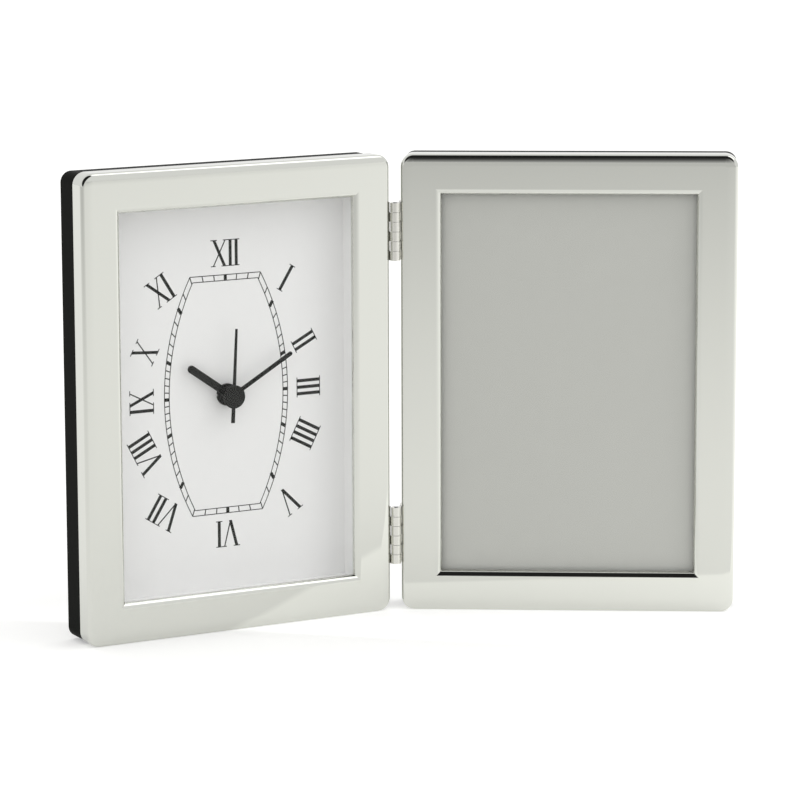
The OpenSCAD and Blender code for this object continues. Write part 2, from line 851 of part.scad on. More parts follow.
coil_room = 1.7;
coil_x = [-9, bay_half - 5.8];
coil_z = bay_half - coil_room - bobbin_r;
leg_w = 3;
bar_h = 7.5;

module stator_plate() color(steel) in_movement(centre, plate_back, plate_back + stator_t)
    difference() {
        union() {
            translate([coil_x[0], rotor_at[1] - bar_h / 2])
                square([coil_x[1] - coil_x[0], bar_h]);
            for (x = [coil_x[0], coil_x[1] - leg_w]) translate([x, rotor_at[1]])
                square([leg_w, coil_z + leg_w / 2 - rotor_at[1]]);
        }
        translate(rotor_at) circle(magnet_r + 0.4);
    }

core_w = plate_back + stator_t;

module coil_core() color(steel) in_movement(centre, core_w, core_w + core_t)
    translate([coil_x[0], coil_z - leg_w / 2]) square([coil_x[1] - coil_x[0], leg_w]);

// The coil lies across the housing, so its section is turned to run along X
bobbin_x = [coil_x[0] + leg_w + 1, coil_x[1] - leg_w - 1];
flange_t = 0.8;

module round_core(from, to, r, hole) on_clock()
    translate([from, housing_y + coil_middle, coil_z]) rotate([0, 90, 0])
        difference() {
            cylinder(r = r, h = to - from);
            translate([-leg_w / 2, -core_t / 2, -1]) cube([leg_w, core_t, to - from + 2]);
            if (hole > 0) translate([0, 0, -1]) cylinder(r = hole, h = to - from + 2);
        }

sleeve_r = 1.9;
module coil_bobbin() color(cream) {
    round_core(bobbin_x[0], bobbin_x[0] + flange_t, bobbin_r, 0);
    round_core(bobbin_x[0] + flange_t, bobbin_x[1] - flange_t, sleeve_r, 0);
    round_core(bobbin_x[1] - flange_t, bobbin_x[1], bobbin_r, 0);
}

module coil_winding() color(copper) round_core(bobbin_x[0] + flange_t,
    bobbin_x[1] - flange_t, bobbin_r - 0.3, sleeve_r);

// Circuit board and crystal

board_x = [bay_half - 15.3, bay_half - 5.3];
board_z = [-8.5, 9.4];
board_plate_t = 0.8;

module circuit_board() color("darkgreen") {
    in_movement(centre, plate_back, plate_back + board_plate_t)
        translate([board_x[0], board_z[0]])
            square([board_x[1] - board_x[0], board_z[1] - board_z[0]]);
    in_movement([board_x[0] + 5, board_z[0] + 4], plate_back + board_plate_t,
        plate_back + board_plate_t + 0.8) circle(2.6);
}

crystal_r = 1;
crystal_len = 6;
module quartz_crystal() color(steel) on_clock()
    translate([board_x[1] - 3, housing_y + plate_back + board_plate_t + crystal_r,
        board_z[0] + 9]) cylinder(r = crystal_r, h = crystal_len);

// Battery and its contacts

battery_z = bay_z + bay_h / 2;
battery_w = housing_t + 0.1 + battery_d / 2;
nub_d = 5.2;
battery_x = -(battery_len + nub_len) / 2;

module battery() color([0.25, 0.27, 0.3]) on_clock()
    translate([battery_x, housing_y + battery_w, battery_z]) rotate([0, 90, 0]) {
        cylinder(r = battery_d / 2, h = battery_len);
        translate([0, 0, battery_len]) cylinder(r = nub_d / 2, h = nub_len);
    }

strip_t = 0.3;
strip_h = 8;
strip_half = 5;
tongue_half = 0.6;
contact_gap = 0.02;
contact_reach = (battery_len + nub_len) / 2 + contact_gap;

// Spring leaf: a strip flat on the end wall and a tongue bent out to the battery
module contact() translate([0, housing_y + battery_w, battery_z - strip_h / 2])
    linear_extrude(strip_h) polygon([
        [bay_half, strip_half],
        [bay_half, -strip_half],
        [bay_half - strip_t, -strip_half],
        [contact_reach, -tongue_half],
        [contact_reach, tongue_half],
        [contact_reach + strip_t, tongue_half],
        [contact_reach + strip_t, tongue_half - 1],
        [bay_half - strip_t, 0.8 - strip_half],
        [bay_half - strip_t, strip_half]
    ]);

module battery_contacts() color(gold) on_clock() for (side = [0, 1])
    mirror([side, 0, 0]) contact();

clock_shell();
clock_body();
clock_glass();
dial_spacer();
dial_plate();
hour_hand();
minute_hand();
second_hand();
dial_nut();
threaded_bushing();
movement_front();
movement_cover();
train_plate();
hour_wheel();
minute_pinion();
motion_wheel();
centre_wheel();
third_wheel();
second_wheel();
step_wheel();
rotor();
setting_knob();
stator_plate();
coil_core();
coil_bobbin();
coil_winding();
circuit_board();
quartz_crystal();
battery();
battery_contacts();
photo_shell();
photo_body();
photo_glass();
photo_insert();
filler_pad();
backboard();
turn_button_top();
turn_button_bottom();
turn_button_left();
turn_button_right();
button_screws();
upper_clock_leaf();
upper_photo_leaf();
upper_hinge_pin();
lower_clock_leaf();
lower_photo_leaf();
lower_hinge_pin();
clock_leaf_screws();
photo_leaf_screws();
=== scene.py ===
# Folding desk clock and picture frame: looks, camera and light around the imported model.
# Panels are modelled lying flat in millimetres (X right, Y up, Z out of the silver face)
# and stood up in the model's frame when they are finished.
import json
import math

import bmesh
import bpy
from mathutils import Matrix, Vector

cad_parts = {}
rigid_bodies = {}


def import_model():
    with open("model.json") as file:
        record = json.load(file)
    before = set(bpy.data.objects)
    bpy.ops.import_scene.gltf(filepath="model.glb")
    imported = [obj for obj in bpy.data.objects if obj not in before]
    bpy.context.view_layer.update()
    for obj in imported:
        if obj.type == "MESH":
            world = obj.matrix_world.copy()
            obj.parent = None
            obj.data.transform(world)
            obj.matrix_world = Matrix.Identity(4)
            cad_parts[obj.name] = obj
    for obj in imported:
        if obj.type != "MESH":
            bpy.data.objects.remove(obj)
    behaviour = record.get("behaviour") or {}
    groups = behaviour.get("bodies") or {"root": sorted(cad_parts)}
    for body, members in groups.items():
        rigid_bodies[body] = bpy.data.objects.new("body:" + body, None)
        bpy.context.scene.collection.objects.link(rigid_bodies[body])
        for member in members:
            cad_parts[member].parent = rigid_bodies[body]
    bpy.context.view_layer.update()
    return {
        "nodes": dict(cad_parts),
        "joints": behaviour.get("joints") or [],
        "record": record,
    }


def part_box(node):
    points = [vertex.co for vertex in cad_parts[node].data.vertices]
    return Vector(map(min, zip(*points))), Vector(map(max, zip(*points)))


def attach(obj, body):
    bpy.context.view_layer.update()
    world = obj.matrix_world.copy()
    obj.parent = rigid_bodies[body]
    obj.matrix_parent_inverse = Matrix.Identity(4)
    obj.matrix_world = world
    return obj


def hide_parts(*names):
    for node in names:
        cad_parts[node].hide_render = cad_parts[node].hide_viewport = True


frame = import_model()
nodes = frame["nodes"]
print("frame loaded:", len(nodes), "nodes")

mm = 0.001
upright = Matrix(((1, 0, 0, 0), (0, 0, -1, 0), (0, 1, 0, 0), (0, 0, 0, 1)))


def startFresh():
    # nothing selected and no edit mode, so that an operator touches only the new piece
    if bpy.context.object is not None and bpy.context.object.mode != "OBJECT":
        bpy.ops.object.mode_set(mode="OBJECT")
    bpy.ops.object.select_all(action="DESELECT")


def focus(obj):
    startFresh()
    obj.select_set(True)
    bpy.context.view_layer.objects.active = obj


def editMode(mode="VERT"):
    bpy.ops.object.mode_set(mode="EDIT")
    bpy.ops.mesh.select_mode(type=mode)


def pick(kind, test, mode):
    # selects the verts, edges or faces of the piece in edit mode that pass the test
    bpy.ops.mesh.select_mode(type=mode)
    bpy.ops.mesh.select_all(action="DESELECT")
    mesh = bmesh.from_edit_mesh(bpy.context.object.data)
    for part in getattr(mesh, kind):
        if test(part):
            part.select_set(True)
    bmesh.update_edit_mesh(bpy.context.object.data)


def newPlane(name):
    # a new piece in edit mode: a plane one millimetre wide, all of it selected
    startFresh()
    bpy.ops.mesh.primitive_plane_add(size=1, location=(0, 0, 0))
    piece = bpy.context.object
    piece.name = name
    editMode()
    bpy.ops.mesh.select_all(action="SELECT")
    return piece


def emptyPiece(name):
    piece = newPlane(name)
    bpy.ops.mesh.delete(type="VERT")
    return piece


def addPlane(width, height, x, y):
    # adds a rectangle to the piece in edit mode, and leaves only that selected
    bpy.ops.mesh.select_all(action="DESELECT")
    bpy.ops.mesh.primitive_plane_add(size=1, location=(x, y, 0))
    bpy.ops.transform.resize(value=(width, height, 1), center_override=(x, y, 0))


def push(x=0.0, y=0.0, z=0.0):
    bpy.ops.transform.translate(value=(x, y, z))


def raiseAll(rise):
    # extrudes the whole piece in edit mode upward, and turns its faces outward
    bpy.ops.mesh.select_all(action="SELECT")
    bpy.ops.mesh.extrude_region_move(TRANSFORM_OT_translate={"value": (0, 0, rise)})
    faceOutward()


def faceOutward():
    bpy.ops.mesh.select_all(action="SELECT")
    bpy.ops.mesh.normals_make_consistent(inside=False)


def useModifier(obj, kind, **settings):
    focus(obj)
    modifier = obj.modifiers.new(kind.lower(), kind)
    for key, value in settings.items():
        setattr(modifier, key, value)
    bpy.ops.object.modifier_apply(modifier=modifier.name)


def copyOf(obj, name):
    twin = obj.copy()
    twin.data = obj.data.copy()
    twin.name = name
    twin.data.name = name
    bpy.context.scene.collection.objects.link(twin)
    return twin


def tone(text):
    # an sRGB hex colour as the linear values that a shader wants
    channels = [int(text[i : i + 2], 16) / 255 for i in (1, 3, 5)]
    return [c / 12.92 if c <= 0.04045 else ((c + 0.055) / 1.055) ** 2.4 for c in channels] + [1]


# Panels: where each lies in the model's frame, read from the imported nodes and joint
foldJoint = next(j for j in frame["joints"] if j["name"] == "panel_fold")
fold = math.radians(180 - foldJoint["range_deg"][1])
hingeX, hingeY = foldJoint["pos_m"][:2]
shellLow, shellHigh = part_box("clock_shell")
panelWidth = (shellHigh.x - shellLow.x) / mm
panelHeight = (shellHigh.z - shellLow.z) / mm
clockMiddle = Vector(((shellLow.x + shellHigh.x) / 2, shellLow.y, panelHeight / 2 * mm))
acrossHinge = hingeX - clockMiddle.x  # from the middle of a face to the hinge's axis
aheadOfFace = shellLow.y - hingeY
clockPlace = Matrix.Translation(clockMiddle) @ upright
photoPlace = (
    Matrix.Translation((hingeX, hingeY, panelHeight / 2 * mm))
    @ Matrix.Rotation(-fold, 4, "Z")
    @ Matrix.Translation((acrossHinge, aheadOfFace, 0))
    @ upright
)


def settle(obj, place, body):
    # puts the finished mesh in its place in metres, with its object at the origin
    startFresh()
    obj.data.transform(place @ Matrix.Scale(mm, 4) @ obj.matrix_world)
    obj.matrix_world = Matrix.Identity(4)
    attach(obj, body)


silverShell = {
    "windowWidth": 98.4,
    "windowHeight": 148.4,
    "sheet": 0.6,
    "depth": 8.0,
    "corner": 5.0,
    "shoulder": 1.5,
    "crown": 3.0,  # the face falls away very gently over this width before its shoulder
    "crownDrop": 0.13,
    "crownSteps": 8,
    "roll": 2.5,
    "rollTurn": 80,
    "edge": 0.4,
    "step": 5,  # degrees turned by one facet of a rolled edge
    "smoothOver": 1.3,  # facets that turn less than this many steps are shaded as one
}
sameHeight = 1e-4  # points this close to a height count as being at it


def makeShell(name):
    s = silverShell
    shell = newPlane(name)
    bpy.ops.transform.resize(value=(panelWidth, panelHeight, 1))
    push(z=-s["depth"])
    bpy.ops.mesh.bevel(offset=s["corner"], segments=90 // s["step"], affect="VERTICES")
    bpy.ops.mesh.select_all(action="SELECT")
    rise = s["depth"] - s["crownDrop"]
    bpy.ops.mesh.extrude_region_move(TRANSFORM_OT_translate={"value": (0, 0, rise)})
    # rolled shoulder round the face, then the crown in small steps up to the flat face
    rim = -s["crownDrop"] - 10 * sameHeight
    pick("edges", lambda e: all(v.co.z > rim for v in e.verts), "EDGE")
    bpy.ops.mesh.bevel(offset=s["shoulder"], segments=90 // s["step"], affect="EDGES")
    pick("faces", lambda f: len(f.verts) > 8 and f.calc_center_median().z > rim, "FACE")
    for i in range(s["crownSteps"]):
        left = [(1 - (i + k) / s["crownSteps"]) ** 2 for k in (0, 1)]
        bpy.ops.mesh.inset(
            thickness=s["crown"] / s["crownSteps"],
            depth=s["crownDrop"] * (left[0] - left[1]),
            use_even_offset=True,
        )
    # face and back are taken out, and the face is filled again round its window
    pick("faces", lambda f: len(f.verts) > 8, "FACE")
    bpy.ops.mesh.delete(type="FACE")
    turn = math.radians(s["rollTurn"])
    halfX = s["windowWidth"] / 2 + s["roll"] * math.sin(turn)
    halfY = s["windowHeight"] / 2 + s["roll"] * math.sin(turn)
    bpy.ops.mesh.select_mode(type="VERT")
    bpy.ops.mesh.select_all(action="DESELECT")
    bpy.ops.mesh.primitive_plane_add(size=1, location=(0, 0, 0))
    bpy.ops.transform.resize(value=(2 * halfX, 2 * halfY, 1))
    bpy.ops.mesh.delete(type="ONLY_FACE")
    pick(
        "edges",
        lambda e: len(e.link_faces) < 2 and all(abs(v.co.z) < sameHeight for v in e.verts),
        "EDGE",
    )
    bpy.ops.mesh.fill(use_beauty=True)
    faceOutward()
    # the edge rolls down to the window in small steps, and ends in a short straight lip
    pick(
        "edges",
        lambda e: len(e.link_faces) == 1 and all(abs(v.co.z) < sameHeight for v in e.verts),
        "EDGE",
    )
    steps = s["rollTurn"] // s["step"]
    nowX, nowY, nowZ = halfX, halfY, 0.0
    for i in range(1, steps + 1):
        a = math.radians(i * s["step"])
        toX = halfX - s["roll"] * math.sin(a)
        toY = halfY - s["roll"] * math.sin(a)
        toZ = -s["roll"] * (1 - math.cos(a))
        bpy.ops.mesh.extrude_edges_move(TRANSFORM_OT_translate={"value": (0, 0, toZ - nowZ)})
        bpy.ops.transform.resize(value=(toX / nowX, toY / nowY, 1), center_override=(0, 0, toZ))
        nowX, nowY, nowZ = toX, toY, toZ
    bpy.ops.mesh.extrude_edges_move(TRANSFORM_OT_translate={"value": (0, 0, -s["edge"])})
    faceOutward()
    bpy.ops.object.mode_set(mode="OBJECT")
    useModifier(shell, "SOLIDIFY", thickness=s["sheet"], offset=-1, use_even_offset=True)
    focus(shell)
    bpy.ops.object.shade_smooth_by_angle(angle=math.radians(s["smoothOver"] * s["step"]))
    useModifier(shell, "WEIGHTED_NORMAL", keep_sharp=True, weight=100)
    return shell


clockShell = makeShell("silver_shell_clock")
photoShell = copyOf(clockShell, "silver_shell_photo")
settle(clockShell, clockPlace, "clock_panel")
settle(photoShell, photoPlace, "photo_panel")
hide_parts("clock_shell")
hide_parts("photo_shell")
print("silver shells made")

# The moulded body shows as a black band behind each shell. It comes flush with the shell
# on the side away from the hinges, and lies close round the body on the other three.
bodyBand = {
    "front": 8.06,
    "back": 18.98,
    "corner": 4.3,
    "skin": 0.03,  # thickness of the band on the three close sides, and its gap to the body
    "smoothUnder": 30,  # degrees
}


def makeBand(name):
    b = bodyBand
    bodyLow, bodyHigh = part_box("clock_body")
    bodyWidth = (bodyHigh.x - bodyLow.x) / mm
    near = bodyWidth / 2 + b["skin"]  # the hole's edge on the hinge side
    width = panelWidth / 2 + near + b["skin"]
    height = (bodyHigh.z - bodyLow.z) / mm + 4 * b["skin"]
    band = newPlane(name)
    bpy.ops.transform.resize(value=(width, height, 1))
    push(x=(width - panelWidth) / 2, z=-b["back"])
    segments = 90 // silverShell["step"]
    bpy.ops.mesh.bevel(offset=b["corner"], segments=segments, affect="VERTICES")
    bpy.ops.mesh.select_mode(type="FACE")
    bpy.ops.mesh.select_all(action="SELECT")
    bpy.ops.mesh.inset(thickness=b["skin"], depth=0, use_even_offset=True)
    narrower = 2 * near / (width - 2 * b["skin"])
    bpy.ops.transform.resize(value=(narrower, 1, 1), center_override=(near, 0, -b["back"]))
    bpy.ops.mesh.delete(type="ONLY_FACE")
    raiseAll(b["back"] - b["front"])
    focus(band)
    bpy.ops.object.shade_smooth_by_angle(angle=math.radians(b["smoothUnder"]))
    return band


clockBand = makeBand("body_band_clock")
photoBand = copyOf(clockBand, "body_band_photo")
photoBand.data.transform(Matrix.Rotation(math.pi, 4, "Z"))
settle(clockBand, clockPlace, "clock_panel")
settle(photoBand, photoPlace, "photo_panel")
print("body bands made")

paneGlass = {"width": 103.6, "height": 153.6, "front": 2.486, "thick": 1.94, "edge": 0.25}


def makePane(name):
    g = paneGlass
    startFresh()
    bpy.ops.mesh.primitive_cube_add(size=1, location=(0, 0, -g["front"] - g["thick"] / 2))
    pane = bpy.context.object
    pane.name = name
    editMode("EDGE")
    bpy.ops.mesh.select_all(action="SELECT")
    bpy.ops.transform.resize(value=(g["width"], g["height"], g["thick"]))
    bpy.ops.mesh.bevel(offset=g["edge"], segments=1, affect="EDGES")
    bpy.ops.object.mode_set(mode="OBJECT")
    return pane


clockPane = makePane("glass_pane_clock")
photoPane = copyOf(clockPane, "glass_pane_photo")
settle(clockPane, clockPlace, "clock_panel")
settle(photoPane, photoPlace, "photo_panel")
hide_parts("clock_glass")
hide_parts("photo_glass")
print("glass made")

dialDepth = 12.966  # from the silver face down to the dial
dialPrint = {
    "ink": 0.03,  # thickness of the print
    "stem": 1.25,
    "hair": 0.5,
    "serif": 0.32,
    "overhang": 0.75,
    "trim": 2.0,  # a stroke is made this much too long at each end, then cut level
    "pitch": 2.55,  # from one I to the next
    "afterOther": 2.2,  # from the end of a V or X to the I after it, and from an I to a V
    "beforeX": 2.1,
    "halfV": 2.65,
    "halfX": 2.5,
    "thickX": 2.3,  # half the run of each stroke of an X
    "thinX": 2.6,
    "endX": 2.45,
}
# numeral, clock angle, distance of its middle from the hands, angle of its upright, height
numeralRows = [
    ("XII", 0, 54.8, 0, 10.3),
    ("I", 31, 50.5, 32, 10.9),
    ("II", 61.5, 38.2, 62.5, 10.2),
    ("III", 90, 35.4, 90, 10.2),
    ("IIII", 118.5, 38.5, 117.5, 10.2),
    ("V", 149, 51.6, 148, 10.9),
    ("VI", 180, 54.6, 180, 10.3),
    ("VII", 211.5, 51.5, 212, 10.9),
    ("VIII", 239.5, 39.9, 242.5, 10.2),
    ("IX", 270, 35.9, 270, 10.2),
    ("X", 299, 39.2, 297.5, 10.2),
    ("XI", 327, 50.3, 328, 10.9),
]


def addBar(x0, y0, x1, y1, width):
    # a flat bar of the given width from one point to another
    length = math.hypot(x1 - x0, y1 - y0)
    middle = ((x0 + x1) / 2, (y0 + y1) / 2, 0)
    addPlane(width, length, *middle[:2])
    angle = math.atan2(x1 - x0, y1 - y0)
    # with no window rotate turns the other way, so a positive angle leans the bar right
    bpy.ops.transform.rotate(value=angle, orient_axis="Z", center_override=middle)


def addStroke(lowX, highX, height, width):
    # a stroke that leans from one foot to another, trimmed level at both ends
    run = highX - lowX
    trim = dialPrint["trim"]
    over = run * trim / height
    across = width * height / math.hypot(run, height)
    addBar(lowX - over, -trim, highX + over, height + trim, across)
    bpy.ops.mesh.bisect(plane_co=(0, 0, 0), plane_no=(0, 1, 0), clear_inner=True)
    bpy.ops.mesh.select_linked()
    bpy.ops.mesh.bisect(plane_co=(0, height, 0), plane_no=(0, 1, 0), clear_outer=True)


def addSerif(x, y, width):
    d = dialPrint
    inward = 1 if y == 0 else -1
    addPlane(width + 2 * d["overhang"], d["serif"], x, y + inward * d["serif"] / 2)


def makeNumeral(text, height):
    d = dialPrint
    numeral = emptyPiece("numeral_" + text)
    x = 0.0
    previous = ""
    for letter in text:
        if letter == "I":
            if previous:
                x += d["pitch"] if previous == "I" else d["afterOther"]
            addStroke(x, x, height, d["stem"])
            addSerif(x, 0, d["stem"])
            addSerif(x, height, d["stem"])
        elif letter == "V":
            half = d["halfV"]
            middle = x + (half + d["afterOther"] if previous else 0)
            addStroke(middle, middle - half, height, d["stem"])
            addStroke(middle, middle + half, height, d["hair"])
            addSerif(middle - half, height, d["stem"])
            addSerif(middle + half, height, d["hair"])
            x = middle + half
        else:
            middle = x + (d["halfX"] + d["beforeX"] if previous else 0)
            thick, thin = d["thickX"], d["thinX"]
            addStroke(middle + thick, middle - thick, height, d["stem"])
            addStroke(middle - thin, middle + thin, height, d["hair"])
            addSerif(middle - thick, height, d["stem"])
            addSerif(middle + thick, 0, d["stem"])
            addSerif(middle - thin, 0, d["hair"])
            addSerif(middle + thin, height, d["hair"])
            x = middle + d["endX"]
        previous = letter
    raiseAll(d["ink"])
    xs = [v.co.x for v in bmesh.from_edit_mesh(numeral.data).verts]
    push(x=-(min(xs) + max(xs)) / 2, y=-height / 2)
    bpy.ops.object.mode_set(mode="OBJECT")
    return numeral


numerals = []
for text, clockAngle, reach, lean, height in numeralRows:
    piece = makeNumeral(text, height)
    a = math.radians(clockAngle)
    piece.data.transform(
        Matrix.Translation((reach * math.sin(a), reach * math.cos(a), -dialDepth))
        @ Matrix.Rotation(-math.radians(lean), 4, "Z")
    )
    settle(piece, clockPlace, "clock_panel")
    numerals.append(piece)
print("numerals made")

minuteTrack = {
    "outerCorner": (15.0, 46.4),
    "outerSide": 26.35,
    "innerCorner": (13.9, 44.2),
    "innerSide": 24.35,
    "line": 0.32,
    "tick": 0.4,
    "bigTick": 1.3,
    "bowParts": 12,  # straight lines in half a bowed side
    "farthest": 80.0,  # a reach past the whole dial
    "halvings": 40,
}


def sideX(corner, side, y):
    # the bowed side of the track is part of a circle through its corners
    sag = side - corner[0]
    radius = (corner[1] ** 2 + sag**2) / (2 * sag)
    return side - radius + math.sqrt(radius**2 - y**2)


def trackHit(corner, side, angle):
    # where a line from the hands' axis meets the barrel outline
    dx, dy = abs(math.sin(angle)), abs(math.cos(angle))
    if dy > 0 and dx / dy <= corner[0] / corner[1]:
        reach = corner[1] / dy
    else:
        low, high = 0.0, minuteTrack["farthest"]
        for _ in range(minuteTrack["halvings"]):
            reach = (low + high) / 2
            inside = reach * dy < corner[1] and reach * dx < sideX(corner, side, reach * dy)
            low, high = (reach, high) if inside else (low, reach)
    return reach * math.sin(angle), reach * math.cos(angle)


def makeTrack():
    t = minuteTrack
    parts = t["bowParts"]
    track = emptyPiece("minute_track")
    for corner, side in ((t["outerCorner"], t["outerSide"]), (t["innerCorner"], t["innerSide"])):
        for up in (-1, 1):
            addBar(-corner[0], up * corner[1], corner[0], up * corner[1], t["line"])
            for sign in (-1, 1):
                ys = [up * corner[1] * i / parts for i in range(parts + 1)]
                xs = [sign * sideX(corner, side, y) for y in ys]
                for i in range(parts):
                    addBar(xs[i], ys[i], xs[i + 1], ys[i + 1], t["line"])
    for minute in range(60):
        a = math.radians(6 * minute)
        x0, y0 = trackHit(t["innerCorner"], t["innerSide"], a)
        x1, y1 = trackHit(t["outerCorner"], t["outerSide"], a)
        addBar(x0, y0, x1, y1, t["bigTick"] if minute % 5 == 0 else t["tick"])
    raiseAll(dialPrint["ink"])
    bpy.ops.object.mode_set(mode="OBJECT")
    track.data.transform(Matrix.Translation((0, 0, -dialDepth)))
    return track


minuteTrackPiece = makeTrack()
settle(minuteTrackPiece, clockPlace, "clock_panel")
print("minute track made")

photoCamera = {
    "place": (-0.706454, -1.275275, 0.347903),
    "turn": 28.873,  # degrees from straight at the clock's face towards its right
    "down": 10.141,
    "roll": 0.164,
    "lens": 173.257,
    "sensor": 36,
    "near": 0.05,
    "far": 50,
}
turn, down, roll = (math.radians(photoCamera[k]) for k in ("turn", "down", "roll"))
ahead = Vector((math.sin(turn), math.cos(turn), -math.tan(down))).normalized()
level = Vector((math.cos(turn), -math.sin(turn), 0))
over = level.cross(ahead)
rolledX = level * math.cos(roll) - over * math.sin(roll)
rolledY = over * math.cos(roll) + level * math.sin(roll)
cameraData = bpy.data.cameras.new("photo_camera")
camera = bpy.data.objects.new("photo_camera", cameraData)
bpy.context.scene.collection.objects.link(camera)
cameraData.lens = photoCamera["lens"]
cameraData.sensor_width = photoCamera["sensor"]
cameraData.clip_start = photoCamera["near"]
cameraData.clip_end = photoCamera["far"]
camera.matrix_world = Matrix.Translation(photoCamera["place"]) @ Matrix(
    (rolledX, rolledY, -ahead)
).transposed().to_4x4()
bpy.context.scene.camera = camera


def addNode(tree, kind, settings=None, values=None, links=None):
    node = tree.nodes.new(kind)
    for key, value in (settings or {}).items():
        setattr(node, key, value)
    for key, value in (values or {}).items():
        node.inputs[key].default_value = value
    for key, source in (links or {}).items():
        tree.links.new(source, node.inputs[key])
    return node


def seenRays(tree):
    # one for the rays that show a thing: straight, off a mirror or through glass
    rays = addNode(tree, "ShaderNodeLightPath").outputs
    seen = rays["Is Camera Ray"]
    for kind in ("Is Glossy Ray", "Is Transmission Ray"):
        links = {0: seen, 1: rays[kind]}
        seen = addNode(tree, "ShaderNodeMath", {"operation": "MAXIMUM"}, links=links).outputs[0]
    return seen


def newMaterial(name):
    material = bpy.data.materials.new(name)
    material.use_nodes = True
    material.node_tree.nodes.clear()
    return material, material.node_tree


